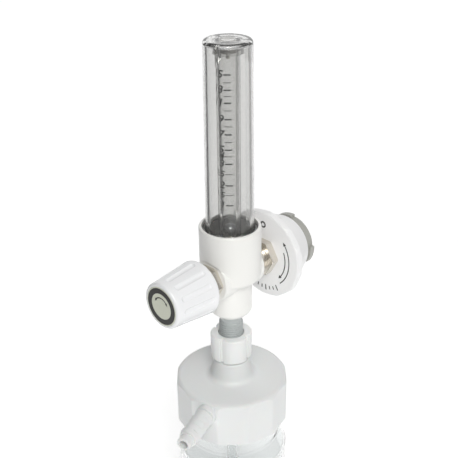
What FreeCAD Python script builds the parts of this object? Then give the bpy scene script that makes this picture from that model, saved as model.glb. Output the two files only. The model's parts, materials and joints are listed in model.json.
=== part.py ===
import FreeCAD, Part
import math
import os

# Oxygen flowmeter: a plug-in probe, a needle valve, a clear ball tube and a humidifier on a union nut.
# Millimetres. +Z is up along the ball tube. The origin is the middle of the humidifier jar's foot.
# The valve knob points to -Y and the wall probe to +Y, both on one horizontal line.

# Clearances
THREAD_GAP = 0.05
RUNNING_GAP = 0.05
LOOSE_GAP = 0.3
SEAT_GAP = 0.02

# Humidifier jar
JAR_OVERHANG = 0.6
JAR_WALL = 2.0
JAR_FLOOR = 2.6
JAR_H = 110.5
JAR_NECK_R = 24.6
JAR_NECK_L = 25.0
JAR_SHOULDER_L = 8.0
JAR_CORNER = 4.0
JAR_RIM_R = 0.6

# Seal between jar and lid
GASKET_T = 1.5
GASKET_LIP = 0.15

# Humidifier lid
LID_SIDES = 12
LID_FLAT_R = 27.9
LID_CORNER = 3.0
LID_SHOULDER = 1.8
LID_SKIRT_H = 24.0
LID_TOP_T = 2.8
LID_HEADROOM = 5.2
LID_LAND = 2.6
LID_BOSS_R = 11.4
LID_BOSS_TOP_R = 8.7
LID_BOSS_H = 10.4
LID_BOSS_FOOT = 3.0
LID_BOSS_EDGE = 1.6
LID_STUB_R = 4.8
LID_STUB_L = 12.0
LID_BORE_R = 2.2
LID_TAIL_R = 4.6
LID_TAIL_HEAD_R = 5.6
LID_TAIL_HEAD_T = 1.5

# Hose outlet on the lid
HOSE_ANGLE = 19.0
HOSE_BELOW_TOP = 6.0
HOSE_ROOT_R = 5.2
HOSE_ROOT_L = 3.2
HOSE_RIDGE_R = 4.9
HOSE_VALLEY_R = 4.2
HOSE_RIDGES = 5
HOSE_PITCH = 3.6
HOSE_TIP_R = 3.5
HOSE_TIP_L = 4.0
HOSE_BORE_R = 2.2

# Bubbler tube inside the jar
DIP_R = 3.0
DIP_BORE_R = 2.0
DIP_GRIP_L = 10.0
DIFFUSER_R = 5.5
DIFFUSER_H = 16.0
DIFFUSER_LIFT = 4.0
DIFFUSER_SOCKET_L = 8.0

# Union nut and its washer
NUT_GAP = 1.3
NUT_H = 13.5
NUT_FLOOR_T = 2.3
NUT_R = 10.5
NUT_LOBE_R = 7.1
NUT_LOBES = 4
NUT_ANGLE = 59.0
NUT_GROOVE_R = 0.9
NUT_TIER_H = 6.8
NUT_TIER_STEP = 0.25
NUT_EDGE = 0.7
NUT_MOUTH_R = 6.5
NUT_MOUTH_L = 1.7
UNION_WASHER_T = 1.0
HEAD_PLAY = 0.1

# Outlet spigot, M12 outside thread
SPIGOT_THREAD_R = 6.0
SPIGOT_THREAD_L = 16.4
SPIGOT_NECK_R = 5.3
SPIGOT_NECK_L = 4.0
SPIGOT_ROOT_R = 5.0
SPIGOT_ROOT_L = 8.0
SPIGOT_BORE_R = 2.4
SPIGOT_CHAMFER = 0.6
SPIGOT_HEADSPACE = 1.5

# Valve body
BODY_R = 14.9
BODY_BELOW_AXIS = 23.0
BODY_SKIRT = 2.6
BODY_STEM_R = 10.4
BODY_STEM_TIP_R = 8.0
BODY_STEM_CHAMFER = 2.4
BODY_RIM_ABOVE_AXIS = 25.0
BODY_RIM_EDGE = 1.0
BODY_RIM_INNER_EDGE = 0.25
BODY_SKIRT_EDGE = 2.4
CUP_WALL = 1.5
CUP_DEPTH = 11.5
BOSS_R = 10.6
BOSS_INSET = 1.6
BOSS_EDGE = 1.0
PORT_R = 5.0
PORT_DEPTH = 10.0
INLET_DEPTH = 8.0
GALLERY_R = 1.8
RISER_R = 0.9
RETURN_R = 1.1
RETURN_TOP_X = 7.8
RETURN_FOOT_X = 3.4

# Clear cover over the ball tube
COVER_FLANGE_H = 9.0
COVER_LEDGE = 1.85
COVER_TAPER = 0.6
COVER_FILLET = 1.2
COVER_RISE = 89.1
COVER_WALL = 1.8
COVER_ROOF = 1.8
COVER_CROWN = 1.5
COVER_SEAL_T = 1.1
COVER_SEAL_W = 2.6
COLLAR_WALL = 1.1
COLLAR_H = 3.8
RIBS = 3
RIB_ANGLE = 135.0
RIB_T = 1.4
RIB_INNER_L = 4.5
RIB_OUTER_L = 9.5
GATE_R = 3.2
GATE_H = 0.4

# Ball tube and ball
TUBE_R = 5.4
TUBE_SOCKET_DEPTH = 6.0
TUBE_FOOT_BORE_R = 3.1
TUBE_HEAD_BORE_R = 3.9
TUBE_TOP_SPACE = 0.8
TUBE_SEAL_T = 1.0
TUBE_HEAD_SLOT_W = 1.4
TUBE_HEAD_SLOT_H = 0.5
BALL_R = 3.0
BALL_STOP_H = 11.8
STOP_PLUG_H = 9.0
STOP_PIN_R = 0.9
HEAD_STOP_H = 5.0
HEAD_PIN_L = 3.0

# Needle valve
SEAT_R = 3.5
SEAT_L = 4.0
SEAT_BORE_R = 1.25
NEEDLE_R = 1.5
NEEDLE_SHOULDER_R = 2.3
NEEDLE_SHOULDER_L = 1.6
NEEDLE_TIP_R = 0.3
NEEDLE_TIP_L = 3.4
NEEDLE_SHANK_L = 8.0
NEEDLE_LIFT = 1.2
NEEDLE_SHUT_GAP = 0.3
SPINDLE_R = 3.0
SPINDLE_COLLAR_R = 4.3
SPINDLE_COLLAR_T = 1.2
SPINDLE_INTO_KNOB = 18.0
GLAND_AF = 15.0
GLAND_HEAD_L = 5.0
GLAND_CHAMFER = 0.5
ORING_R = 0.9
ORING_SQUEEZE = 0.05

# Knob
KNOB_GAP = 1.6
KNOB_L = 24.6
KNOB_REAR_R = 13.6
KNOB_FRONT_R = 11.2
KNOB_FRONT_EDGE = 1.3
KNOB_REAR_EDGE = 1.6
KNOB_WALL = 2.0
KNOB_HUB_R = 5.2
KNOB_HOLLOW_L = 17.0
KNOB_FLUTES = 12
KNOB_FLUTE_R = 1.9
KNOB_FLUTE_DEPTH = 0.6
KNOB_FLUTE_START = 3.2
KNOB_FLUTE_STOP = 3.2
CAP_R = 9.7
CAP_T = 1.0
SCREW_HEAD_R = 2.8
SCREW_HEAD_L = 1.6
SCREW_R = 1.5
SCREW_L = 8.0
SCREW_SLOT_W = 0.8
SCREW_SLOT_DEPTH = 0.7
SCREW_WEB_T = 1.5

# Probe side
STEM_NECK_R = 6.6
STEM_NECK_L = 6.2
STEM_BORE_R = 2.0
JOURNAL_R = 5.9
LOCK_AF = 17.4
LOCK_L = 4.0
LOCK_CHAMFER = 0.5
DISC_R = 23.2
DISC_SIDES = 12
DISC_ANGLE = 22.5
DISC_CORNER = 4.0
DISC_T = 3.8
DISC_EDGE = 1.5
COLLAR_BACK_R = 14.8
COLLAR_FRONT_R = 20.0
GRIP_COLLAR_L = 13.6
GRIP_HUB_L = 10.9
GRIP_RECESS_R = 11.0
CLIP_R = 7.2
CLIP_T = 1.0
CLIP_GROOVE_DEPTH = 0.5
CLIP_OPEN_ANGLE = 50.0
JOURNAL_END_L = 2.0
RING_R = 12.8
RING_BORE_R = 10.2
RING_L = 6.0
RING_ROOT_L = 3.5
LUGS = 3
LUG_ANGLE = 105.0
LUG_R = 14.4
LUG_T = 3.0
LUG_SPAN = 38.0
NOZZLE_R = 4.0
NOZZLE_L = 16.0
NOZZLE_FLANGE_R = 5.4
NOZZLE_FLANGE_T = 2.0
NOZZLE_ROOT_R = 3.0
NOZZLE_ROOT_L = 7.0
NOZZLE_BORE_R = 1.5
NOZZLE_CHAMFER = 0.8
NOZZLE_GROOVE_FROM_TIP = 5.5
NOZZLE_GROOVE_R = 2.5
FILTER_R = 2.4
FILTER_T = 2.0

# Heights, from the jar's foot up
LID_LAND_Z = JAR_H + GASKET_T
LID_CEILING_Z = LID_LAND_Z + LID_HEADROOM
LID_TOP_Z = LID_CEILING_Z + LID_TOP_T
LID_BOTTOM_Z = LID_TOP_Z - LID_SKIRT_H
LID_BOSS_Z = LID_TOP_Z + LID_BOSS_H
NUT_Z = LID_BOSS_Z + NUT_GAP
HEAD_Z = NUT_Z + NUT_FLOOR_T + HEAD_PLAY
UNION_WASHER_Z = HEAD_Z + LID_TAIL_HEAD_T
SPIGOT_Z = UNION_WASHER_Z + UNION_WASHER_T
BODY_Z = SPIGOT_Z + SPIGOT_THREAD_L + SPIGOT_NECK_L
AXIS_Z = BODY_Z + BODY_BELOW_AXIS
RIM_Z = AXIS_Z + BODY_RIM_ABOVE_AXIS
CUP_Z = RIM_Z - CUP_DEPTH
COVER_Z = CUP_Z + COVER_SEAL_T
COVER_FLANGE_Z = COVER_Z + COVER_FLANGE_H
COVER_TOP_Z = COVER_FLANGE_Z + COVER_RISE
COVER_ROOF_Z = COVER_TOP_Z - COVER_ROOF
SOCKET_Z = CUP_Z - TUBE_SOCKET_DEPTH
TUBE_Z = SOCKET_Z + TUBE_SEAL_T
TUBE_TOP_Z = COVER_ROOF_Z - TUBE_TOP_SPACE
BALL_STOP_Z = TUBE_Z + BALL_STOP_H
BALL_Z = BALL_STOP_Z + BALL_R + SEAT_GAP

# Radii that follow from their neighbours
JAR_R = LID_FLAT_R + JAR_OVERHANG
JAR_MOUTH_R = JAR_NECK_R - JAR_WALL - GASKET_LIP
LID_THREAD_R = JAR_NECK_R + LOOSE_GAP
LID_LAND_R = LID_THREAD_R - LID_LAND
GASKET_BORE_R = LID_LAND_R + GASKET_LIP
NUT_THREAD_R = SPIGOT_THREAD_R + THREAD_GAP
NUT_FLOOR_BORE_R = LID_TAIL_R + LOOSE_GAP
CUP_R = BODY_R - CUP_WALL
COVER_FLANGE_R = CUP_R - THREAD_GAP
COVER_FOOT_R = COVER_FLANGE_R - COVER_LEDGE
COVER_TOP_R = COVER_FOOT_R - COVER_TAPER
COVER_BORE_R = COVER_FOOT_R - COVER_WALL
COLLAR_BORE_R = TUBE_R + LOOSE_GAP
COLLAR_R = COLLAR_BORE_R + COLLAR_WALL
SPINDLE_BORE_R = NEEDLE_R + RUNNING_GAP
GLAND_BORE_R = SPINDLE_R + RUNNING_GAP

# Stations along Y on the valve side, all negative
BOSS_FACE = BODY_R - BOSS_INSET
SEAT_FRONT_Y = BOSS_FACE - PORT_DEPTH
NEEDLE_SHOULDER_Y = SEAT_FRONT_Y + NEEDLE_SHUT_GAP
SPINDLE_END_Y = NEEDLE_SHOULDER_Y + NEEDLE_SHOULDER_L + NEEDLE_LIFT + LOOSE_GAP
GLAND_END_Y = SPINDLE_END_Y + SPINDLE_COLLAR_T + RUNNING_GAP
GLAND_TOP_Y = BOSS_FACE + GLAND_HEAD_L
KNOB_REAR_Y = GLAND_TOP_Y + KNOB_GAP
KNOB_FRONT_Y = KNOB_REAR_Y + KNOB_L
SPINDLE_TOP_Y = KNOB_REAR_Y + SPINDLE_INTO_KNOB

# Stations along Y on the probe side
LOCK_Y = BOSS_FACE + STEM_NECK_L
DISC_Y = LOCK_Y + LOCK_L + RUNNING_GAP
COLLAR_Y = DISC_Y + DISC_T
GRIP_BACK_Y = COLLAR_Y + GRIP_COLLAR_L
CLIP_Y = DISC_Y + GRIP_HUB_L + RUNNING_GAP
JOURNAL_END_Y = CLIP_Y + CLIP_T + JOURNAL_END_L
NOZZLE_Y = JOURNAL_END_Y + NOZZLE_FLANGE_T
NOZZLE_TIP_Y = NOZZLE_Y + NOZZLE_L


def outline(points):
    """A closed wire in the XZ plane through (x, z) points, or (x, z, radius) for a rounded corner."""
    runs = []
    count = len(points)
    for index, point in enumerate(points):
        here = FreeCAD.Vector(point[0], 0, point[1])
        radius = point[2] if len(point) > 2 else 0
        if radius == 0:
            runs.append((here, None, here))
            continue
        before = FreeCAD.Vector(points[index - 1][0], 0, points[index - 1][1])
        after = FreeCAD.Vector(points[(index + 1) % count][0], 0, points[(index + 1) % count][1])
        back = (before - here).normalize()
        ahead = (after - here).normalize()
        half = back.getAngle(ahead) / 2
        inward = (back + ahead).normalize()
        reach = radius / math.tan(half)
        middle = here + inward * (radius / math.sin(half) - radius)
        runs.append((here + back * reach, middle, here + ahead * reach))
    edges = []
    for index, (start, middle, end) in enumerate(runs):
        if middle is not None:
            edges.append(Part.Arc(start, middle, end).toShape())
        following = runs[(index + 1) % count][0]
        if end.distanceToPoint(following) > 1e-6:
            edges.append(Part.makeLine(end, following))
    return Part.Wire(edges)


def turned(points):
    """A solid of revolution about Z from (radius, height) points."""
    face = Part.Face(outline(points))
    return face.revolve(FreeCAD.Vector(0, 0, 0), FreeCAD.Vector(0, 0, 1), 360)


def along_y(shape):
    """Turns a shape built along Z so that its heights become stations along Y on the valve line."""
    placed = shape.copy()
    placed.rotate(FreeCAD.Vector(0, 0, 0), FreeCAD.Vector(1, 0, 0), -90)
    placed.translate(FreeCAD.Vector(0, 0, AXIS_Z))
    return placed


def to_valve_side(shape):
    """Turns a shape built along Z so that its heights become distances towards the knob."""
    placed = shape.copy()
    placed.rotate(FreeCAD.Vector(0, 0, 0), FreeCAD.Vector(1, 0, 0), 90)
    placed.translate(FreeCAD.Vector(0, 0, AXIS_Z))
    return placed


def cylinder(radius, bottom, top, x=0, y=0):
    return Part.makeCylinder(radius, top - bottom, FreeCAD.Vector(x, y, bottom))


def rod(radius, start, end):
    """A cylinder between two points."""
    line = end - start
    return Part.makeCylinder(radius, line.Length, start, line)


def ring(outer, inner, bottom, top):
    return cylinder(outer, bottom, top).cut(cylinder(inner, bottom, top))


def polygon_prism(sides, corner_r, rounding, bottom, top, angle):
    """A regular prism; corner_r reaches the sharp corners and rounding softens them."""
    corners = []
    for index in range(sides):
        turn = math.radians(angle + 360.0 * index / sides)
        corners.append((corner_r * math.cos(turn), corner_r * math.sin(turn), rounding))
    face = Part.Face(outline(corners))
    face.rotate(FreeCAD.Vector(0, 0, 0), FreeCAD.Vector(1, 0, 0), 90)
    face.translate(FreeCAD.Vector(0, 0, bottom))
    return face.extrude(FreeCAD.Vector(0, 0, top - bottom))


def hexagon(across_flats, chamfer, bottom, top, angle):
    """A hexagonal nut blank with its corners turned off at both ends."""
    corner_r = across_flats / math.sqrt(3)
    prism = polygon_prism(6, corner_r, 0, bottom, top, angle)
    blank = turned([
        (0, bottom),
        (corner_r - chamfer, bottom),
        (corner_r, bottom + chamfer * 0.6),
        (corner_r, top - chamfer * 0.6),
        (corner_r - chamfer, top),
        (0, top),
    ])
    return prism.common(blank)


def spun(shape, count, first=0):
    """Copies of a shape about Z, the first turned by an angle in degrees."""
    copies = []
    for index in range(count):
        copy = shape.copy()
        copy.rotate(FreeCAD.Vector(0, 0, 0), FreeCAD.Vector(0, 0, 1), first + 360.0 * index / count)
        copies.append(copy)
    return copies


def torus(ring_r, section_r, height):
    return Part.makeTorus(ring_r, section_r, FreeCAD.Vector(0, 0, height))


# Humidifier jar: moulded clear plastic with a flat foot, a shoulder and a screw neck
def jar():
    shoulder_z = JAR_H - JAR_NECK_L
    wall_z = shoulder_z - JAR_SHOULDER_L
    inner_r = JAR_R - JAR_WALL
    return turned([
        (0, 0),
        (JAR_R, 0, JAR_CORNER),
        (JAR_R, wall_z, JAR_CORNER),
        (JAR_NECK_R, shoulder_z, JAR_WALL),
        (JAR_NECK_R, JAR_H, JAR_RIM_R),
        (JAR_MOUTH_R, JAR_H, JAR_RIM_R),
        (JAR_MOUTH_R, shoulder_z - JAR_WALL / 2, JAR_WALL),
        (inner_r, wall_z - JAR_WALL / 2, JAR_CORNER),
        (inner_r, JAR_FLOOR, JAR_CORNER),
        (0, JAR_FLOOR),
    ])


def jar_gasket():
    return ring(JAR_NECK_R, GASKET_BORE_R, JAR_H, LID_LAND_Z)


# Hose outlet: a ridged nipple that points away from the lid, drawn along +X at height zero
def hose_nipple():
    root_x = LID_FLAT_R + HOSE_ROOT_L
    points = [(0, LID_THREAD_R), (HOSE_ROOT_R, LID_THREAD_R), (HOSE_ROOT_R, root_x, 0.6)]
    points.append((HOSE_VALLEY_R, root_x))
    station = root_x
    for index in range(HOSE_RIDGES):
        points.append((HOSE_RIDGE_R, station + HOSE_PITCH * 0.25))
        station += HOSE_PITCH
        points.append((HOSE_VALLEY_R, station))
    points.append((HOSE_TIP_R, station))
    points.append((HOSE_TIP_R, station + HOSE_TIP_L, 0.5))
    points.append((0, station + HOSE_TIP_L))
    nipple = turned(points)
    nipple.rotate(FreeCAD.Vector(0, 0, 0), FreeCAD.Vector(0, 1, 0), 90)
    return nipple


def hose_end():
    return LID_FLAT_R + HOSE_ROOT_L + HOSE_RIDGES * HOSE_PITCH + HOSE_TIP_L


def hose_bore():
    start = FreeCAD.Vector(LID_LAND_R - 1, 0, 0)
    return rod(HOSE_BORE_R, start, FreeCAD.Vector(hose_end() + 1, 0, 0))


def at_hose(shape):
    placed = shape.copy()
    placed.rotate(FreeCAD.Vector(0, 0, 0), FreeCAD.Vector(0, 0, 1), HOSE_ANGLE - 90)
    placed.translate(FreeCAD.Vector(0, 0, LID_TOP_Z - HOSE_BELOW_TOP))
    return placed


# Lid: one moulding with a faceted skirt, a boss, a tail for the union nut and the hose outlet
def lid():
    corner_r = LID_FLAT_R / math.cos(math.pi / LID_SIDES)
    skirt = polygon_prism(LID_SIDES, corner_r, LID_CORNER, LID_BOTTOM_Z, LID_TOP_Z, 0)
    crown = turned([
        (0, LID_BOTTOM_Z),
        (corner_r, LID_BOTTOM_Z, 0.5),
        (corner_r, LID_TOP_Z, LID_SHOULDER + corner_r - LID_FLAT_R),
        (0, LID_TOP_Z),
    ])
    boss = turned([
        (0, LID_TOP_Z - 0.5),
        (LID_BOSS_R + LID_BOSS_FOOT, LID_TOP_Z - 0.5),
        (LID_BOSS_R + LID_BOSS_FOOT, LID_TOP_Z),
        (LID_BOSS_R, LID_TOP_Z, LID_BOSS_FOOT),
        (LID_BOSS_TOP_R, LID_BOSS_Z, LID_BOSS_EDGE),
        (0, LID_BOSS_Z),
    ])
    tail = turned([
        (0, LID_BOSS_Z - 1),
        (LID_TAIL_R, LID_BOSS_Z - 1),
        (LID_TAIL_R, HEAD_Z),
        (LID_TAIL_HEAD_R, HEAD_Z, 0.3),
        (LID_TAIL_HEAD_R, UNION_WASHER_Z, 0.3),
        (0, UNION_WASHER_Z),
    ])
    cavity = turned([
        (0, LID_BOTTOM_Z - 1),
        (LID_THREAD_R, LID_BOTTOM_Z - 1),
        (LID_THREAD_R, LID_LAND_Z),
        (LID_LAND_R, LID_LAND_Z),
        (LID_LAND_R, LID_CEILING_Z, 1.0),
        (LID_STUB_R, LID_CEILING_Z, 0.6),
        (LID_STUB_R, LID_CEILING_Z - LID_STUB_L, 0.4),
        (0, LID_CEILING_Z - LID_STUB_L),
    ])
    bore = turned([
        (0, LID_CEILING_Z - LID_STUB_L - 1),
        (DIP_R, LID_CEILING_Z - LID_STUB_L - 1),
        (DIP_R, LID_CEILING_Z - LID_STUB_L + DIP_GRIP_L),
        (LID_BORE_R, LID_CEILING_Z - LID_STUB_L + DIP_GRIP_L),
        (LID_BORE_R, UNION_WASHER_Z + 1),
        (0, UNION_WASHER_Z + 1),
    ])
    shell = skirt.common(crown).fuse([boss, tail, at_hose(hose_nipple())])
    return shell.cut([cavity, bore, at_hose(hose_bore())]).removeSplitter()


def dip_tube():
    bottom = JAR_FLOOR + DIFFUSER_LIFT + DIFFUSER_H - DIFFUSER_SOCKET_L
    return ring(DIP_R, DIP_BORE_R, bottom, LID_CEILING_Z - LID_STUB_L + DIP_GRIP_L)


# Diffuser: a sintered cup on the foot of the dip tube
def diffuser():
    bottom = JAR_FLOOR + DIFFUSER_LIFT
    top = bottom + DIFFUSER_H
    cup = turned([(0, bottom), (DIFFUSER_R, bottom, 1.5), (DIFFUSER_R, top, 1.0), (0, top)])
    return cup.cut(cylinder(DIP_R, top - DIFFUSER_SOCKET_L, top + 1))


# Union nut: four lobes with a groove between each pair
def union_nut():
    top = NUT_Z + NUT_H
    offset = NUT_R - NUT_LOBE_R
    lobe = cylinder(NUT_LOBE_R, NUT_Z, top, x=offset)
    lobes = spun(lobe, NUT_LOBES, NUT_ANGLE - 90)
    block = lobes[0].fuse(lobes[1:])
    half = math.pi / NUT_LOBES
    valley_r = offset * math.cos(half) + math.sqrt(NUT_LOBE_R ** 2 - (offset * math.sin(half)) ** 2)
    groove = cylinder(NUT_GROOVE_R, NUT_Z - 1, top + 1, x=valley_r)
    grooves = spun(groove, NUT_LOBES, NUT_ANGLE - 90 + 180.0 / NUT_LOBES)
    envelope = turned([
        (0, NUT_Z),
        (NUT_R - NUT_TIER_STEP, NUT_Z, NUT_EDGE),
        (NUT_R - NUT_TIER_STEP, NUT_Z + NUT_TIER_H),
        (NUT_R, NUT_Z + NUT_TIER_H),
        (NUT_R, top, NUT_EDGE),
        (0, top),
    ])
    hollow = turned([
        (0, NUT_Z - 1),
        (NUT_FLOOR_BORE_R, NUT_Z - 1),
        (NUT_FLOOR_BORE_R, NUT_Z + NUT_FLOOR_T),
        (NUT_THREAD_R, NUT_Z + NUT_FLOOR_T),
        (NUT_THREAD_R, top - NUT_MOUTH_L),
        (NUT_MOUTH_R, top - NUT_MOUTH_L + 0.4),
        (NUT_MOUTH_R, top + 1),
        (0, top + 1),
    ])
    return block.common(envelope).cut(grooves + [hollow]).removeSplitter()


def union_washer():
    return ring(LID_TAIL_HEAD_R, LID_BORE_R, UNION_WASHER_Z, SPIGOT_Z)


# Outlet spigot: threaded below, screwed into the body above
def outlet_spigot():
    neck_z = BODY_Z - SPIGOT_NECK_L
    root_r = SPIGOT_ROOT_R - THREAD_GAP
    outer = turned([
        (0, SPIGOT_Z),
        (SPIGOT_THREAD_R - SPIGOT_CHAMFER, SPIGOT_Z),
        (SPIGOT_THREAD_R, SPIGOT_Z + SPIGOT_CHAMFER),
        (SPIGOT_THREAD_R, neck_z - 0.3),
        (SPIGOT_NECK_R, neck_z),
        (SPIGOT_NECK_R, BODY_Z),
        (root_r, BODY_Z),
        (root_r, BODY_Z + SPIGOT_ROOT_L),
        (0, BODY_Z + SPIGOT_ROOT_L),
    ])
    return outer.cut(cylinder(SPIGOT_BORE_R, SPIGOT_Z - 1, BODY_Z + SPIGOT_ROOT_L + 1))


# Valve body: a cup on a stem, with a round boss and a flat spot face on each side
def body():
    cup = turned([
        (0, AXIS_Z - BODY_SKIRT),
        (BODY_R, AXIS_Z - BODY_SKIRT, BODY_SKIRT_EDGE),
        (BODY_R, RIM_Z, BODY_RIM_EDGE),
        (CUP_R, RIM_Z, BODY_RIM_INNER_EDGE),
        (CUP_R, CUP_Z, 0.5),
        (0, CUP_Z),
    ])
    stem = turned([
        (0, BODY_Z),
        (BODY_STEM_TIP_R, BODY_Z, 0.6),
        (BODY_STEM_R, BODY_Z + BODY_STEM_CHAMFER, 1.5),
        (BODY_STEM_R, AXIS_Z),
        (0, AXIS_Z),
    ])
    boss = along_y(turned([
        (0, -BOSS_FACE),
        (BOSS_R, -BOSS_FACE, BOSS_EDGE),
        (BOSS_R, BOSS_FACE, BOSS_EDGE),
        (0, BOSS_FACE),
    ]))
    cutter = cylinder(BOSS_R, BOSS_FACE, BODY_R + 5)
    spot_faces = [along_y(cutter), to_valve_side(cutter)]
    valve_port = to_valve_side(cylinder(PORT_R, SEAT_FRONT_Y, BOSS_FACE + 1))
    seat_pocket = to_valve_side(cylinder(SEAT_R, SEAT_FRONT_Y - SEAT_L, SEAT_FRONT_Y + 1))
    inlet_port = along_y(cylinder(PORT_R, BOSS_FACE - INLET_DEPTH, BOSS_FACE + 1))
    gallery = along_y(cylinder(GALLERY_R, SEAT_L - SEAT_FRONT_Y - 1, BOSS_FACE - 1))
    tube_socket = cylinder(TUBE_R + THREAD_GAP, SOCKET_Z, CUP_Z + 1)
    riser = rod(
        RISER_R,
        FreeCAD.Vector(0, 0, SOCKET_Z + 0.5),
        FreeCAD.Vector(0, -SEAT_FRONT_Y - 2, AXIS_Z + PORT_R - 1),
    )
    return_way = rod(
        RETURN_R,
        FreeCAD.Vector(RETURN_TOP_X, 0, CUP_Z + 0.5),
        FreeCAD.Vector(RETURN_FOOT_X, 0, BODY_Z + SPIGOT_ROOT_L - 1),
    )
    outlet_port = cylinder(SPIGOT_ROOT_R, BODY_Z - 1, BODY_Z + SPIGOT_ROOT_L + SPIGOT_HEADSPACE)
    casting = cup.fuse([stem, boss])
    holes = [valve_port, seat_pocket, inlet_port, gallery, tube_socket, riser, return_way, outlet_port]
    cup_space = cylinder(CUP_R, CUP_Z + 0.5, RIM_Z + 1)
    return casting.cut(spot_faces + holes + [cup_space]).removeSplitter()


def cover_seal():
    return ring(CUP_R - 0.5 - LOOSE_GAP, CUP_R - 0.5 - LOOSE_GAP - COVER_SEAL_W, CUP_Z, COVER_Z)


# Clear cover: a drafted tube with a screwed foot, a closed crown, and a collar on three ribs inside
def cover_tube():
    shell = turned([
        (COVER_BORE_R, COVER_Z),
        (COVER_FLANGE_R, COVER_Z, 0.5),
        (COVER_FLANGE_R, COVER_FLANGE_Z, 0.5),
        (COVER_FOOT_R, COVER_FLANGE_Z, COVER_FILLET),
        (COVER_TOP_R, COVER_TOP_Z, COVER_CROWN),
        (GATE_R, COVER_TOP_Z),
        (GATE_R, COVER_TOP_Z + GATE_H),
        (0, COVER_TOP_Z + GATE_H),
        (0, COVER_ROOF_Z),
        (COVER_TOP_R - COVER_WALL, COVER_ROOF_Z, 0.6),
        (COVER_BORE_R, COVER_FLANGE_Z),
    ])
    collar = ring(COLLAR_R, COLLAR_BORE_R, COVER_ROOF_Z - COLLAR_H, COVER_ROOF_Z + 0.2)
    rib_face = Part.Face(outline([
        (COLLAR_R - 0.3, COVER_ROOF_Z + 0.2),
        (COLLAR_R - 0.3, COVER_ROOF_Z - RIB_INNER_L + 0.8),
        (COLLAR_R, COVER_ROOF_Z - RIB_INNER_L),
        (COVER_BORE_R + 0.3, COVER_ROOF_Z - RIB_OUTER_L),
        (COVER_BORE_R + 0.3, COVER_ROOF_Z + 0.2),
    ]))
    rib = rib_face.extrude(FreeCAD.Vector(0, RIB_T, 0))
    rib.translate(FreeCAD.Vector(0, -RIB_T / 2, 0))
    return shell.fuse([collar] + spun(rib, RIBS, RIB_ANGLE - 90)).removeSplitter()


# Ball tube: thick and clear, with a bore that widens upwards
def metering_tube():
    foot_z = BALL_STOP_Z
    return turned([
        (TUBE_FOOT_BORE_R, TUBE_Z),
        (TUBE_R, TUBE_Z, 0.3),
        (TUBE_R, TUBE_TOP_Z, 0.3),
        (TUBE_HEAD_BORE_R, TUBE_TOP_Z),
        (TUBE_HEAD_BORE_R, TUBE_TOP_Z - HEAD_STOP_H),
        (TUBE_FOOT_BORE_R, foot_z),
    ])


def tube_foot_seal():
    return ring(TUBE_R, TUBE_FOOT_BORE_R, SOCKET_Z, TUBE_Z)


def tube_head_washer():
    washer = ring(TUBE_R, TUBE_HEAD_BORE_R, TUBE_TOP_Z, COVER_ROOF_Z)
    slot = Part.makeBox(
        TUBE_R + 1,
        TUBE_HEAD_SLOT_W,
        TUBE_HEAD_SLOT_H + 1,
        FreeCAD.Vector(0, -TUBE_HEAD_SLOT_W / 2, COVER_ROOF_Z - TUBE_HEAD_SLOT_H),
    )
    return washer.cut(spun(slot, 4))


def float_ball():
    return Part.makeSphere(BALL_R, FreeCAD.Vector(0, 0, BALL_Z))


# Lower stop: a drilled plug with a pin that the ball rests on
def ball_rest():
    plug = cylinder(TUBE_FOOT_BORE_R - THREAD_GAP, TUBE_Z, TUBE_Z + STOP_PLUG_H)
    pin = cylinder(STOP_PIN_R, TUBE_Z + STOP_PLUG_H - 1, BALL_STOP_Z)
    way = cylinder(STOP_PIN_R, TUBE_Z - 1, TUBE_Z + STOP_PLUG_H / 2)
    side = rod(
        STOP_PIN_R / 2,
        FreeCAD.Vector(TUBE_FOOT_BORE_R / 2 + 0.2, 0, TUBE_Z + STOP_PLUG_H / 4),
        FreeCAD.Vector(TUBE_FOOT_BORE_R / 2 + 0.2, 0, TUBE_Z + STOP_PLUG_H + 1),
    )
    return plug.fuse(pin).cut([way] + spun(side, 4))


# Upper stop: a plug in the top of the ball tube with a short pin
def ball_catch():
    plug = ring(TUBE_HEAD_BORE_R - THREAD_GAP, STOP_PIN_R, TUBE_TOP_Z - HEAD_STOP_H / 2, TUBE_TOP_Z)
    pin = cylinder(STOP_PIN_R, TUBE_TOP_Z - HEAD_STOP_H / 2 - HEAD_PIN_L, TUBE_TOP_Z - 1)
    side = cylinder(STOP_PIN_R / 2, 0, COVER_TOP_Z, x=TUBE_HEAD_BORE_R / 2 + 0.3)
    return plug.fuse(pin).cut(spun(side, 4))


# Needle valve, built along Z with heights as distances towards the knob
def valve_seat():
    bush = ring(SEAT_R - THREAD_GAP, SEAT_BORE_R, SEAT_FRONT_Y - SEAT_L, SEAT_FRONT_Y)
    return to_valve_side(bush)


def needle():
    tip_y = SEAT_FRONT_Y - NEEDLE_TIP_L
    shoulder_end = NEEDLE_SHOULDER_Y + NEEDLE_SHOULDER_L
    shape = turned([
        (0, tip_y),
        (NEEDLE_TIP_R, tip_y),
        (SEAT_BORE_R - RUNNING_GAP, SEAT_FRONT_Y),
        (SEAT_BORE_R - RUNNING_GAP, NEEDLE_SHOULDER_Y),
        (NEEDLE_SHOULDER_R, NEEDLE_SHOULDER_Y, 0.2),
        (NEEDLE_SHOULDER_R, shoulder_end, 0.2),
        (NEEDLE_R, shoulder_end),
        (NEEDLE_R, shoulder_end + NEEDLE_SHANK_L),
        (0, shoulder_end + NEEDLE_SHANK_L),
    ])
    return to_valve_side(shape)


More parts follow.
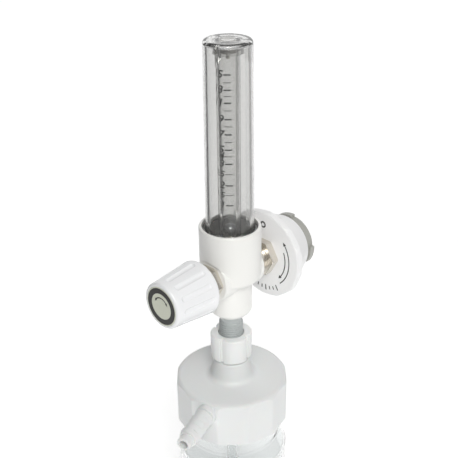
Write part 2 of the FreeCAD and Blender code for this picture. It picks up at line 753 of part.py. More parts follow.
def spindle():
    bore_end = NEEDLE_SHOULDER_Y + NEEDLE_SHOULDER_L + NEEDLE_SHANK_L + NEEDLE_LIFT + LOOSE_GAP
    outer = turned([
        (0, SPINDLE_END_Y),
        (SPINDLE_COLLAR_R, SPINDLE_END_Y, 0.2),
        (SPINDLE_COLLAR_R, SPINDLE_END_Y + SPINDLE_COLLAR_T, 0.2),
        (SPINDLE_R, SPINDLE_END_Y + SPINDLE_COLLAR_T),
        (SPINDLE_R, SPINDLE_TOP_Y, 0.4),
        (0, SPINDLE_TOP_Y),
    ])
    thread_bore = cylinder(SPINDLE_BORE_R, SPINDLE_END_Y - 1, bore_end)
    screw_bore = cylinder(SCREW_R + THREAD_GAP, SPINDLE_TOP_Y - SCREW_L - LOOSE_GAP, SPINDLE_TOP_Y + 1)
    return to_valve_side(outer.cut([thread_bore, screw_bore]))


def oring_station():
    return (GLAND_END_Y + GLAND_TOP_Y) / 2


def gland_nut():
    head = hexagon(GLAND_AF, GLAND_CHAMFER, BOSS_FACE, GLAND_TOP_Y, 0)
    screwed = cylinder(PORT_R - THREAD_GAP, GLAND_END_Y, BOSS_FACE + 1)
    bore = cylinder(GLAND_BORE_R, GLAND_END_Y - 1, GLAND_TOP_Y + 1)
    groove_r = SPINDLE_R + 2 * ORING_R
    groove = cylinder(groove_r, oring_station() - ORING_R, oring_station() + ORING_R)
    return to_valve_side(head.fuse(screwed).cut([bore, groove]))


def spindle_oring():
    seal = torus(SPINDLE_R + ORING_R, ORING_R - ORING_SQUEEZE, oring_station())
    return to_valve_side(seal)


# Knob: a hollow tapered moulding with flutes that stop short of the front
def knob():
    shell = turned([
        (0, KNOB_REAR_Y),
        (KNOB_REAR_R, KNOB_REAR_Y, KNOB_REAR_EDGE),
        (KNOB_FRONT_R, KNOB_FRONT_Y, KNOB_FRONT_EDGE),
        (0, KNOB_FRONT_Y),
    ])
    hollow_end = KNOB_REAR_Y + KNOB_HOLLOW_L
    slope = (KNOB_REAR_R - KNOB_FRONT_R) / KNOB_L
    hollow = turned([
        (KNOB_HUB_R, KNOB_REAR_Y - 1),
        (KNOB_REAR_R - KNOB_WALL - KNOB_FLUTE_DEPTH, KNOB_REAR_Y - 1),
        (KNOB_REAR_R - KNOB_WALL - KNOB_FLUTE_DEPTH - slope * KNOB_HOLLOW_L, hollow_end, 1.0),
        (KNOB_HUB_R, hollow_end, 0.8),
    ])
    bore = cylinder(SPINDLE_R + SEAT_GAP, KNOB_REAR_Y - 1, SPINDLE_TOP_Y)
    screw_way = cylinder(SCREW_R + LOOSE_GAP, SPINDLE_TOP_Y - 1, KNOB_FRONT_Y + 1)
    cap_seat = cylinder(CAP_R, KNOB_FRONT_Y - CAP_T, KNOB_FRONT_Y + 1)
    head_pocket = cylinder(SCREW_HEAD_R + LOOSE_GAP, head_seat(), KNOB_FRONT_Y + 1)
    front_r = KNOB_FRONT_R + slope * KNOB_FLUTE_START
    run = KNOB_L - KNOB_FLUTE_START - KNOB_FLUTE_STOP - 2 * KNOB_FLUTE_R
    origin = FreeCAD.Vector(0, 0, 0)
    rearward = FreeCAD.Vector(0, 0, -1)
    flute = Part.makeCylinder(KNOB_FLUTE_R, run, origin, rearward)
    round_ends = [Part.makeSphere(KNOB_FLUTE_R, origin), Part.makeSphere(KNOB_FLUTE_R, rearward * run)]
    flute = flute.fuse(round_ends)
    flute.rotate(origin, FreeCAD.Vector(0, 1, 0), -math.degrees(math.atan(slope)))
    reach = front_r + KNOB_FLUTE_R - KNOB_FLUTE_DEPTH
    flute.translate(FreeCAD.Vector(reach, 0, KNOB_FRONT_Y - KNOB_FLUTE_START - KNOB_FLUTE_R))
    cuts = [hollow, bore, screw_way, cap_seat, head_pocket]
    return to_valve_side(shell.cut(cuts + spun(flute, KNOB_FLUTES)))


def head_seat():
    """Distance from the tube axis at which the knob screw's head seats."""
    return SPINDLE_TOP_Y + SCREW_WEB_T


def knob_screw():
    top = head_seat() + SCREW_HEAD_L
    screw = turned([
        (0, SPINDLE_TOP_Y - SCREW_L),
        (SCREW_R, SPINDLE_TOP_Y - SCREW_L),
        (SCREW_R, head_seat()),
        (SCREW_HEAD_R, head_seat()),
        (SCREW_HEAD_R, top, 0.6),
        (0, top),
    ])
    slot = Part.makeBox(
        2 * SCREW_HEAD_R + 2,
        SCREW_SLOT_W,
        SCREW_SLOT_DEPTH + 1,
        FreeCAD.Vector(-SCREW_HEAD_R - 1, -SCREW_SLOT_W / 2, top - SCREW_SLOT_DEPTH),
    )
    return to_valve_side(screw.cut(slot))


def knob_cap():
    cap = turned([
        (0, KNOB_FRONT_Y - CAP_T),
        (CAP_R - SEAT_GAP, KNOB_FRONT_Y - CAP_T),
        (CAP_R - SEAT_GAP, KNOB_FRONT_Y, 0.3),
        (0, KNOB_FRONT_Y),
    ])
    return to_valve_side(cap)


# Probe side, built along Z with heights as stations along +Y
def inlet_stem():
    root_r = PORT_R - THREAD_GAP
    outer = turned([
        (0, BOSS_FACE - INLET_DEPTH),
        (root_r, BOSS_FACE - INLET_DEPTH),
        (root_r, BOSS_FACE),
        (STEM_NECK_R, BOSS_FACE, 0.3),
        (STEM_NECK_R, LOCK_Y, 0.3),
        (JOURNAL_R, LOCK_Y),
        (JOURNAL_R, CLIP_Y),
        (JOURNAL_R - CLIP_GROOVE_DEPTH, CLIP_Y),
        (JOURNAL_R - CLIP_GROOVE_DEPTH, CLIP_Y + CLIP_T),
        (JOURNAL_R, CLIP_Y + CLIP_T),
        (JOURNAL_R, JOURNAL_END_Y),
        (0, JOURNAL_END_Y),
    ])
    bore = cylinder(STEM_BORE_R, BOSS_FACE - INLET_DEPTH - 1, JOURNAL_END_Y + 1)
    nozzle_bore = cylinder(NOZZLE_ROOT_R + THREAD_GAP, JOURNAL_END_Y - NOZZLE_ROOT_L, JOURNAL_END_Y + 1)
    return along_y(outer.cut([bore, nozzle_bore]))


def lock_nut():
    blank = hexagon(LOCK_AF, LOCK_CHAMFER, LOCK_Y, LOCK_Y + LOCK_L, 0)
    return along_y(blank.cut(cylinder(JOURNAL_R + THREAD_GAP, LOCK_Y - 1, LOCK_Y + LOCK_L + 1)))


# Grip: a twelve-sided disc and a round collar behind it
def grip_disc():
    corner_r = DISC_R
    plate = polygon_prism(DISC_SIDES, corner_r, DISC_CORNER, DISC_Y, COLLAR_Y, DISC_ANGLE)
    edge = turned([
        (0, DISC_Y),
        (corner_r, DISC_Y, DISC_EDGE),
        (corner_r, COLLAR_Y, DISC_EDGE),
        (0, COLLAR_Y),
    ])
    collar = turned([
        (0, COLLAR_Y - 1),
        (COLLAR_FRONT_R, COLLAR_Y - 1),
        (COLLAR_FRONT_R, COLLAR_Y + 2, 1.0),
        (COLLAR_BACK_R, GRIP_BACK_Y, 1.0),
        (0, GRIP_BACK_Y),
    ])
    bore = cylinder(JOURNAL_R + RUNNING_GAP, DISC_Y - 1, GRIP_BACK_Y + 1)
    recess = cylinder(GRIP_RECESS_R, DISC_Y + GRIP_HUB_L, GRIP_BACK_Y + 1)
    return along_y(plate.common(edge).fuse(collar).cut([bore, recess]))


def grip_clip():
    clip = ring(CLIP_R, JOURNAL_R - CLIP_GROOVE_DEPTH, CLIP_Y, CLIP_Y + CLIP_T)
    reach = CLIP_R + 1
    half = math.radians(CLIP_OPEN_ANGLE / 2)
    gap = Part.Face(outline([
        (0, 0),
        (reach * math.cos(half), reach * math.sin(half)),
        (reach * math.cos(half), -reach * math.sin(half)),
    ]))
    gap.rotate(FreeCAD.Vector(0, 0, 0), FreeCAD.Vector(1, 0, 0), 90)
    gap.translate(FreeCAD.Vector(0, 0, CLIP_Y - 1))
    return along_y(clip.cut(gap.extrude(FreeCAD.Vector(0, 0, CLIP_T + 2))))


# Bayonet ring: three lugs round a sleeve that plugs into the grip
def bayonet_ring():
    end_y = GRIP_BACK_Y + RING_L
    sleeve = turned([
        (RING_BORE_R, GRIP_BACK_Y - RING_ROOT_L),
        (GRIP_RECESS_R - SEAT_GAP, GRIP_BACK_Y - RING_ROOT_L),
        (GRIP_RECESS_R - SEAT_GAP, GRIP_BACK_Y),
        (RING_R, GRIP_BACK_Y),
        (RING_R, end_y, 0.6),
        (RING_BORE_R, end_y, 0.6),
    ])
    lug_blank = ring(LUG_R, RING_R - 0.5, end_y - LUG_T - 0.8, end_y - 0.8)
    reach = 2 * LUG_R
    half = math.radians(LUG_SPAN / 2)
    wedge = Part.Face(outline([
        (0, 0),
        (reach * math.cos(half), reach * math.sin(half)),
        (reach * math.cos(half), -reach * math.sin(half)),
    ]))
    wedge.rotate(FreeCAD.Vector(0, 0, 0), FreeCAD.Vector(1, 0, 0), 90)
    wedge.translate(FreeCAD.Vector(0, 0, GRIP_BACK_Y))
    lug = lug_blank.common(wedge.extrude(FreeCAD.Vector(0, 0, RING_L)))
    return along_y(sleeve.fuse(spun(lug, LUGS, -LUG_ANGLE)))


def probe_nozzle():
    groove_y = NOZZLE_TIP_Y - NOZZLE_GROOVE_FROM_TIP
    outer = turned([
        (0, JOURNAL_END_Y - NOZZLE_ROOT_L),
        (NOZZLE_ROOT_R, JOURNAL_END_Y - NOZZLE_ROOT_L),
        (NOZZLE_ROOT_R, JOURNAL_END_Y),
        (NOZZLE_FLANGE_R, JOURNAL_END_Y, 0.3),
        (NOZZLE_FLANGE_R, NOZZLE_Y, 0.3),
        (NOZZLE_R, NOZZLE_Y),
        (NOZZLE_R, groove_y - ORING_R),
        (NOZZLE_GROOVE_R, groove_y - ORING_R),
        (NOZZLE_GROOVE_R, groove_y + ORING_R),
        (NOZZLE_R, groove_y + ORING_R),
        (NOZZLE_R, NOZZLE_TIP_Y - NOZZLE_CHAMFER),
        (NOZZLE_R - NOZZLE_CHAMFER, NOZZLE_TIP_Y),
        (0, NOZZLE_TIP_Y),
    ])
    bore = cylinder(NOZZLE_BORE_R, JOURNAL_END_Y - NOZZLE_ROOT_L - 1, NOZZLE_TIP_Y + 1)
    pocket = cylinder(FILTER_R, NOZZLE_TIP_Y - FILTER_T, NOZZLE_TIP_Y + 1)
    return along_y(outer.cut([bore, pocket]))


def nozzle_oring():
    section = ORING_R - ORING_SQUEEZE
    return along_y(torus(NOZZLE_GROOVE_R + section, section, NOZZLE_TIP_Y - NOZZLE_GROOVE_FROM_TIP))


def inlet_filter():
    return along_y(cylinder(FILTER_R - SEAT_GAP, NOZZLE_TIP_Y - FILTER_T, NOZZLE_TIP_Y - 0.3))


PIECES = {
    "humidifier_jar": jar,
    "jar_gasket": jar_gasket,
    "humidifier_lid": lid,
    "dip_tube": dip_tube,
    "bubble_diffuser": diffuser,
    "union_nut": union_nut,
    "union_washer": union_washer,
    "outlet_spigot": outlet_spigot,
    "valve_body": body,
    "cover_seal": cover_seal,
    "cover_tube": cover_tube,
    "metering_tube": metering_tube,
    "tube_foot_seal": tube_foot_seal,
    "tube_head_washer": tube_head_washer,
    "float_ball": float_ball,
    "ball_rest": ball_rest,
    "ball_catch": ball_catch,
    "valve_seat": valve_seat,
    "valve_needle": needle,
    "valve_spindle": spindle,
    "gland_nut": gland_nut,
    "spindle_oring": spindle_oring,
    "flow_knob": knob,
    "knob_screw": knob_screw,
    "knob_cap": knob_cap,
    "inlet_stem": inlet_stem,
    "lock_nut": lock_nut,
    "grip_disc": grip_disc,
    "grip_clip": grip_clip,
    "bayonet_ring": bayonet_ring,
    "probe_nozzle": probe_nozzle,
    "nozzle_oring": nozzle_oring,
    "inlet_filter": inlet_filter,
}

os.makedirs("parts", exist_ok=True)
for name, make in PIECES.items():
    shape = make()
    shape.exportStep("parts/" + name + ".step")
    state = "valid" if shape.isValid() else "INVALID"
    print(name, shape.ShapeType, len(shape.Solids), state, round(shape.Volume, 1))
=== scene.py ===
# %% [markdown]
# # An oxygen flowmeter with its humidifier
# A flowmeter hangs from a gas outlet by the probe behind it. The gas passes a needle valve, lifts a
# steel ball in a clear tube to show the flow, and then bubbles through the humidifier underneath.
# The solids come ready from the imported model. This lesson gives them their finishes, cuts the screw
# thread, prints the scale and the marks, and lights and frames the whole thing.

# %% Load the frame
import json
import math
import bmesh
import bpy
from mathutils import Matrix, Vector


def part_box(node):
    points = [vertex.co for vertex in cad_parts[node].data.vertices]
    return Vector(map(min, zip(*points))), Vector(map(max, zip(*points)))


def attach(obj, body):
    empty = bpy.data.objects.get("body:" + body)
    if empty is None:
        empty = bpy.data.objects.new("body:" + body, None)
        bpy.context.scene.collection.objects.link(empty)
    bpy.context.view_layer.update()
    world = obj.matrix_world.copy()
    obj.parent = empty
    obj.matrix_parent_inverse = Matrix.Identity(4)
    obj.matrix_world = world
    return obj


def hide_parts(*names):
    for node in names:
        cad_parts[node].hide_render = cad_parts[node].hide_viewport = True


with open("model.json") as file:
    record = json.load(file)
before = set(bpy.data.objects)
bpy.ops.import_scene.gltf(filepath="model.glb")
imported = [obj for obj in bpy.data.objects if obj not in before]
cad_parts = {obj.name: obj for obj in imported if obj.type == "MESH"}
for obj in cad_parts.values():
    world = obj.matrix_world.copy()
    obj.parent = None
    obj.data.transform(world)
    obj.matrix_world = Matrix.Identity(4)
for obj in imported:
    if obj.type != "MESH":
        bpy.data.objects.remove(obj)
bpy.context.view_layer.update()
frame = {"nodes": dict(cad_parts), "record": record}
nodes = frame["nodes"]
MM = 0.001

# %% [markdown]
# Colours are easiest to judge as the hex values of a paint chart. Blender's sockets hold linear
# light, so one function does the change. A second function adds any shader node: it takes the
# node's own settings and a value or a link for each socket, which keeps every material short.

# %% Colours and nodes
def linear(hex_colour):
    """The linear colour, with alpha, of an sRGB hex value."""
    channels = [int(hex_colour[i:i + 2], 16) / 255 for i in (1, 3, 5)]
    return [c / 12.92 if c < 0.04045 else ((c + 0.055) / 1.055) ** 2.4 for c in channels] + [1.0]


def add(tree, kind, settings, inputs):
    """Adds a node; inputs maps a socket's name or number to a value or to a socket to link from."""
    made = tree.nodes.new(kind)
    for name, value in settings.items():
        setattr(made, name, value)
    for key, value in inputs.items():
        if isinstance(value, bpy.types.NodeSocket):
            tree.links.new(value, made.inputs[key])
        else:
            made.inputs[key].default_value = value
    return made


print("a mid grey", [round(c, 3) for c in linear("#808080")])

# %% [markdown]
# Every finish here is one Principled shader. What sets them apart is what feeds it: most moulded
# and painted surfaces get a faint unevenness in their height and in their gloss, because a
# perfectly even white surface looks like paper. The patterns read Object coordinates, in metres,
# so a pattern 2 mm across has a scale of 1 / 0.002.

# %% A finish and its unevenness
def finish(name, colour, **sockets):
    """A material with one Principled shader. Underscores in socket names stand for spaces."""
    material = bpy.data.materials.new(name)
    material.use_nodes = True
    shader = material.node_tree.nodes["Principled BSDF"]
    shader.inputs["Base Color"].default_value = linear(colour)
    for key, value in sockets.items():
        shader.inputs[key.replace("_", " ")].default_value = value
    return material


def speckle(material, size_mm, detail=2.0):
    """A noise over the surface whose lumps are about size_mm across; returns its height."""
    tree = material.node_tree
    place = add(tree, "ShaderNodeTexCoord", {}, {})
    noise = add(tree, "ShaderNodeTexNoise", {}, {
        "Vector": place.outputs["Object"],
        "Scale": 1 / (size_mm * MM),
        "Detail": detail,
    })
    return noise.outputs["Fac"]


def emboss(material, height, depth_mm):
    """Lets a height drive the shader's normal; depth_mm is the step from black to white."""
    tree = material.node_tree
    bump = add(tree, "ShaderNodeBump", {}, {"Height": height, "Distance": depth_mm * MM})
    tree.links.new(bump.outputs["Normal"], tree.nodes["Principled BSDF"].inputs["Normal"])


def gloss_between(material, height, low, high):
    """Lets a height move the roughness between two values."""
    tree = material.node_tree
    spread = add(tree, "ShaderNodeMapRange", {}, {"Value": height, "To Min": low, "To Max": high})
    tree.links.new(spread.outputs["Result"], tree.nodes["Principled BSDF"].inputs["Roughness"])


# The Mix node has a socket of the same name for every data type, so its colour ones go by number.
COLOUR_MIX_FACTOR, COLOUR_MIX_A, COLOUR_MIX_B = 0, 6, 7
COLOUR_MIX_RESULT = 2


def tint_between(material, height, dark, light):
    """Lets a height move the colour between two hex values."""
    tree = material.node_tree
    mix = add(tree, "ShaderNodeMix", {"data_type": "RGBA"}, {
        COLOUR_MIX_FACTOR: height,
        COLOUR_MIX_A: linear(dark),
        COLOUR_MIX_B: linear(light),
    })
    mixed = mix.outputs[COLOUR_MIX_RESULT]
    tree.links.new(mixed, tree.nodes["Principled BSDF"].inputs["Base Color"])


print("finish helpers ready")

# %% [markdown]
# ## White finishes
# The valve body is a brass casting under a thick powder coat. Powder melts into a skin with a soft
# orange-peel waviness about 2 mm across and ten micrometres deep, which breaks up highlights.

# %% Powder-coated brass
powder_coat = finish(
    "powder_coated_brass", "#F5F5F2", IOR=1.5, Coat_Weight=0.25, Coat_Roughness=0.18)
peel = speckle(powder_coat, size_mm=2.0)
emboss(powder_coat, peel, depth_mm=0.012)
gloss_between(powder_coat, peel, low=0.26, high=0.36)
print(powder_coat.name)

# %% [markdown]
# The knob and the grip are moulded ABS. The knob's tool was polished, so it comes out bright and
# slightly cool. The grip's tool was only fine-blasted, so its gloss is softer. The lid is
# polypropylene and the union nut is nylon: both are milky, because light goes a little way into
# them, and their highlights are wide. The washer on the ball tube is turned from creamy acetal.

# %% Moulded white plastics
glossy_abs = finish(
    "moulded_abs_polished", "#F6F7F9", IOR=1.54, Coat_Weight=0.2, Coat_Roughness=0.08)
flow = speckle(glossy_abs, size_mm=6.0, detail=1.0)
emboss(glossy_abs, flow, depth_mm=0.02)
gloss_between(glossy_abs, flow, low=0.2, high=0.28)

satin_abs = finish("moulded_abs_satin", "#FAFAFB", IOR=1.54)
blast = speckle(satin_abs, size_mm=0.5)
emboss(satin_abs, blast, depth_mm=0.004)
gloss_between(satin_abs, blast, low=0.32, high=0.42)

milky_pp = finish(
    "moulded_polypropylene", "#E4E6E6", IOR=1.49, Subsurface_Weight=0.08, Subsurface_Scale=0.002)
sink = speckle(milky_pp, size_mm=9.0, detail=1.0)
emboss(milky_pp, sink, depth_mm=0.05)
gloss_between(milky_pp, sink, low=0.3, high=0.4)

nylon = finish(
    "moulded_nylon_white", "#EEF0EF", IOR=1.53, Subsurface_Weight=0.08, Subsurface_Scale=0.0015)
grain = speckle(nylon, size_mm=1.2)
emboss(nylon, grain, depth_mm=0.006)
gloss_between(nylon, grain, low=0.34, high=0.44)

acetal = finish("turned_acetal", "#ECEBE6", IOR=1.48)
gloss_between(acetal, speckle(acetal, size_mm=0.6), low=0.35, high=0.5)
print(len(bpy.data.materials), "finishes")

# %% [markdown]
# ## Clear finishes
# The cover, the ball tube and the jar are clear polycarbonate. What the eye reads as a clear tube
# is the dark and bright bending of the room at its edges, so the wall thickness of the solids does
# most of the work. The shader adds a tint, which each wall that light crosses deepens, a slow
# waviness from the mould, and a trace of haze, for which a twentieth of the surface isn't clear.

# %% Clear polycarbonate
CLEARNESS = 0.95
RIPPLE_MM = 7.0


def clear_plastic(name, colour, waviness_mm):
    """Clear moulded plastic; waviness_mm is the depth of the slow ripple left by the mould."""
    material = finish(name, colour, IOR=1.58, Transmission_Weight=CLEARNESS, Roughness=0.015)
    emboss(material, speckle(material, RIPPLE_MM, detail=0.0), waviness_mm)
    return material


clear_cover = clear_plastic("clear_polycarbonate_cover", "#F4F4F3", waviness_mm=0.02)
clear_tube = clear_plastic("clear_polycarbonate_tube", "#F8F8F7", waviness_mm=0.008)
clear_jar = clear_plastic("clear_polycarbonate_jar", "#F5F7F7", waviness_mm=0.03)
print("clear plastics ready")

# %% [markdown]
# ## Metals
# The gland nut, the stem and the lock nut are turned from brass and nickel-plated. Plating keeps
# the fine turning marks of the brass, and nickel's own colour is a little warm, so in a white room
# these parts look silvery with brown shadows. The ball is ground and polished stainless steel,
# and the clip is blued spring steel. The outlet spigot is anodised aluminium: its oxide skin is
# grey and dull, so the shader is only about a third metal.

# %% Plated, turned and polished metals
BANDS_AT_SCALE_1 = 10 / math.pi  # how many bands a Wave texture then has to the metre
TURNING_DEPTH_MM = 0.003


def turned_metal(name, colour, low, high, ring_mm):
    """A lathe-turned metal: the tool leaves fine rings, ring_mm apart, along the piece's Y axis."""
    material = finish(name, colour, Metallic=1.0)
    tree = material.node_tree
    place = add(tree, "ShaderNodeTexCoord", {}, {})
    rings = add(tree, "ShaderNodeTexWave", {"wave_type": "BANDS", "bands_direction": "Y"}, {
        "Vector": place.outputs["Object"],
        "Scale": 1 / (BANDS_AT_SCALE_1 * ring_mm * MM),
        "Distortion": 0.6,
        "Detail": 1.0,
    })
    emboss(material, rings.outputs["Fac"], TURNING_DEPTH_MM)
    gloss_between(material, rings.outputs["Fac"], low, high)
    return material


nickel = turned_metal("nickel_plated_brass", "#E3DED5", low=0.16, high=0.26, ring_mm=0.4)
bare_brass = turned_metal("turned_brass", "#D9B36A", low=0.2, high=0.32, ring_mm=0.3)
ball_steel = finish("polished_stainless_steel", "#9A9DA0", Metallic=1.0)
gloss_between(ball_steel, speckle(ball_steel, size_mm=0.8), low=0.08, high=0.16)
spring_steel = finish("blued_spring_steel", "#70757A", Metallic=1.0)
gloss_between(spring_steel, speckle(spring_steel, size_mm=0.5), low=0.3, high=0.42)
outlet_grey = finish("satin_anodised_aluminium", "#BFC4C4", Metallic=0.35)
gloss_between(outlet_grey, speckle(outlet_grey, size_mm=0.4), low=0.42, high=0.54)
print("metals ready")

# %% [markdown]
# ## Rubber, porous parts, grey nylon and inks
# The seals are nitrile rubber with a dull skin, except the two that show through the clear cover,
# which are pale silicone. The diffuser and the inlet filter are sintered: grains of plastic or
# bronze fused at their contacts, so they look like packed sand. The bayonet ring is glass-filled
# nylon, which is grey and slightly mottled. The knob's label is a pale satin film, and the ink on
# it and on the scale is a flat, nearly black one.

# %% The remaining finishes
nitrile = finish("nitrile_rubber", "#1E1E1F", IOR=1.52)
gloss_between(nitrile, speckle(nitrile, size_mm=0.7), low=0.5, high=0.68)

silicone = finish(
    "natural_silicone_rubber", "#D3D6D1", IOR=1.43, Subsurface_Weight=0.1, Subsurface_Scale=0.001)
gloss_between(silicone, speckle(silicone, size_mm=0.7), low=0.4, high=0.55)

sintered_pe = finish("sintered_polyethylene", "#E2E0D8", Roughness=0.8)
beads = speckle(sintered_pe, size_mm=0.45, detail=3.0)
emboss(sintered_pe, beads, depth_mm=0.12)
tint_between(sintered_pe, beads, "#C9C6BC", "#EFEDE6")

sintered_bronze = finish("sintered_bronze", "#A8874F", Metallic=1.0, Roughness=0.45)
grains = speckle(sintered_bronze, size_mm=0.3, detail=3.0)
emboss(sintered_bronze, grains, depth_mm=0.08)
tint_between(sintered_bronze, grains, "#6E5630", "#BFA268")

filled_nylon = finish("glass_filled_nylon_grey", "#ADADA8", IOR=1.53)
fibres = speckle(filled_nylon, size_mm=0.8, detail=3.0)
tint_between(filled_nylon, fibres, "#A4A49F", "#B6B6B1")
gloss_between(filled_nylon, fibres, low=0.38, high=0.5)

label_film = finish("printed_label_film", "#D3D6C6", IOR=1.5)
film_grain = speckle(label_film, size_mm=0.35)
tint_between(label_film, film_grain, "#CED1C0", "#D8DBCC")
gloss_between(label_film, film_grain, low=0.34, high=0.42)

black_ink = finish("black_screen_ink", "#171615", Roughness=0.42)
tint_between(black_ink, speckle(black_ink, size_mm=0.3), "#121110", "#1E1D1B")
print(len(bpy.data.materials), "finishes in all")

# %% [markdown]
# ## Dress the solids
# The record already says which finish each piece takes, by the name of its material slot. A
# table from slot to material is enough: every mesh slot of every node is filled from it.

# %% Fill the material slots
FINISH_OF_SLOT = {
    "white_painted_brass": powder_coat,
    "white_knob_plastic": glossy_abs,
    "white_grip_plastic": satin_abs,
    "white_lid_plastic": milky_pp,
    "white_nut_plastic": nylon,
    "white_washer_plastic": acetal,
    "clear_cover_plastic": clear_cover,
    "clear_tube_plastic": clear_tube,
    "clear_jar_plastic": clear_jar,
    "nickel_plated_brass": nickel,
    "bare_brass": bare_brass,
    "polished_steel": ball_steel,
    "spring_steel": spring_steel,
    "grey_outlet_metal": outlet_grey,
    "black_rubber": nitrile,
    "pale_silicone": silicone,
    "porous_plastic": sintered_pe,
    "sintered_bronze": sintered_bronze,
    "grey_ring_plastic": filled_nylon,
    "knob_label": label_film,
}
slot_of_node = {row["node"]: row["material_slot"] for row in frame["record"]["subparts"]}
for name, solid in nodes.items():
    material = FINISH_OF_SLOT[slot_of_node[name]]
    if not solid.material_slots:
        solid.data.materials.append(material)
    for place in solid.material_slots:
        place.material = material
print("dressed", len(nodes), "nodes")

# %% [markdown]
# ## New pieces
# Each new piece is a bmesh made into an object at the origin, with its place in its mesh. The
# helper also says which body carries it and which finish it takes.

# %% From bmesh to a piece
WELD = 0.0005


def piece(name, bm, material, body):
    """Turns a bmesh, drawn in millimetres, into an object that rides on a body."""
    bmesh.ops.remove_doubles(bm, verts=bm.verts[:], dist=WELD)
    bmesh.ops.recalc_face_normals(bm, faces=bm.faces[:])
    bmesh.ops.scale(bm, verts=bm.verts[:], vec=(MM, MM, MM))
    mesh = bpy.data.meshes.new(name)
    bm.to_mesh(mesh)
    bm.free()
    mesh.materials.append(material)
    made = bpy.data.objects.new(name, mesh)
    bpy.context.scene.collection.objects.link(made)
    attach(made, body)
    print(name, len(mesh.polygons), "faces")
    return made


def spot(name, upper=False):
    """The lowest or highest corner of a node's box, in millimetres."""
    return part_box(name)[1 if upper else 0] / MM


AXIS_Z = (spot("probe_nozzle").z + spot("probe_nozzle", True).z) / 2
print("valve line at height", round(AXIS_Z, 2))

# %% [markdown]
# ### The outlet spigot and its thread
# The outlet is an M12 screw: a groove of 1.25 mm pitch runs round it, and its last turns show
# between the body and the union nut. A thread is the classic use of spin with a rise at each step:
# a small trapezium is carried round the axis and up at the same time. The core under it is a plain
# profile spun once round.

# %% The spigot's core
SPIGOT_CREST_R = 6.0
SPIGOT_CORE_R = 5.35
SPIGOT_NECK_R = 5.3
SPIGOT_ROOT_R = 4.95
SPIGOT_BORE_R = 2.4
SPIGOT_NECK_L = 4.0
THREAD_PITCH = 1.25


def spin_profile(bm, profile, steps=64):
    """Spins a closed (radius, height) profile once about Z."""
    verts = [bm.verts.new((radius, 0, height)) for radius, height in profile]
    edges = [bm.edges.new((verts[i], verts[(i + 1) % len(verts)])) for i in range(len(verts))]
    bmesh.ops.spin(
        bm, geom=verts + edges, cent=(0, 0, 0), axis=(0, 0, 1), dvec=(0, 0, 0),
        angle=math.tau, steps=steps, use_merge=True, use_duplicate=False,
    )


foot_z = spot("outlet_spigot").z
head_z = spot("outlet_spigot", True).z
body_z = spot("valve_body").z
thread_top = body_z - SPIGOT_NECK_L
spigot = bmesh.new()
spin_profile(spigot, [
    (SPIGOT_BORE_R, foot_z),
    (SPIGOT_CORE_R, foot_z),
    (SPIGOT_CORE_R, thread_top),
    (SPIGOT_NECK_R, thread_top),
    (SPIGOT_NECK_R, body_z),
    (SPIGOT_ROOT_R, body_z),
    (SPIGOT_ROOT_R, head_z),
    (SPIGOT_BORE_R, head_z),
])
print("core from", round(foot_z, 1), "to", round(head_z, 1))

# %% The spigot's thread
THREAD_STEPS = 36
THREAD_SINK = 0.05
THREAD_LEAD_IN = 0.2
CREST_START, CREST_END, RIDGE_END = 0.38, 0.55, 0.93  # shares of the pitch


def spin_thread(bm, core_r, crest_r, pitch, bottom, top):
    """Climbs a trapezium ridge from bottom to top, with both ends closed; returns its turns."""
    turns = (top - bottom) / pitch - 1
    section = [
        (core_r - THREAD_SINK, bottom),
        (crest_r, bottom + pitch * CREST_START),
        (crest_r, bottom + pitch * CREST_END),
        (core_r - THREAD_SINK, bottom + pitch * RIDGE_END),
    ]
    start = bm.faces.new([bm.verts.new((radius, 0, height)) for radius, height in section])
    steps = round(turns * THREAD_STEPS)
    bmesh.ops.spin(
        bm, geom=[start], cent=(0, 0, 0), axis=(0, 0, 1), dvec=(0, 0, pitch / THREAD_STEPS),
        angle=math.tau * steps / THREAD_STEPS, steps=steps, use_merge=False, use_duplicate=False,
    )
    return turns


thread_foot = foot_z + THREAD_LEAD_IN
thread_turns = spin_thread(
    spigot, SPIGOT_CORE_R, SPIGOT_CREST_R, THREAD_PITCH, thread_foot, thread_top)
print("thread turns", round(thread_turns, 1))
spigot_piece = piece("threaded_spigot", spigot, outlet_grey, "flowmeter")
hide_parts("outlet_spigot")

# %% [markdown]
# ### The scale on the ball tube
# The scale is screen-printed on the outside of the ball tube: lines for each litre a minute, thick
# and thin by turns, and a number beside most of them. The spacing isn't even, because the bore
# widens upwards, so each line's height is written down as it was read. A line is an upright edge
# spun a few degrees round the tube, then given the thickness of an ink film. Towards its foot the
# print leans a few degrees to the right.

# %% The lines
TUBE_R = (spot("metering_tube", True).x - spot("metering_tube").x) / 2
INK_FILM = 0.03
PRINT_R = TUBE_R + INK_FILM
LINE_START, LINE_END = 24.0, 55.0  # degrees round the tube
LINE_LEAN = 0.12  # degrees to each millimetre down from the top line
THICK_LINE_W, THIN_LINE_W = 0.62, 0.3
ARC_STEP = 5  # degrees to one flat of a spun line
FLOW_HEIGHTS = {
    15: 278.8, 14: 275.4, 13: 272.1, 12: 269.3, 11: 266.3, 10: 262.9, 9: 258.9, 8: 255.6,
    7: 251.9, 6: 248.3, 5: 244.7, 4: 241.6, 3: 238.0, 2.5: 233.0, 2: 227.5, 1.5: 222.7,
    1: 217.6, 0.5: 210.4,
}
THICK_LINES = (15, 13, 11, 9, 7, 5, 3, 2, 1)


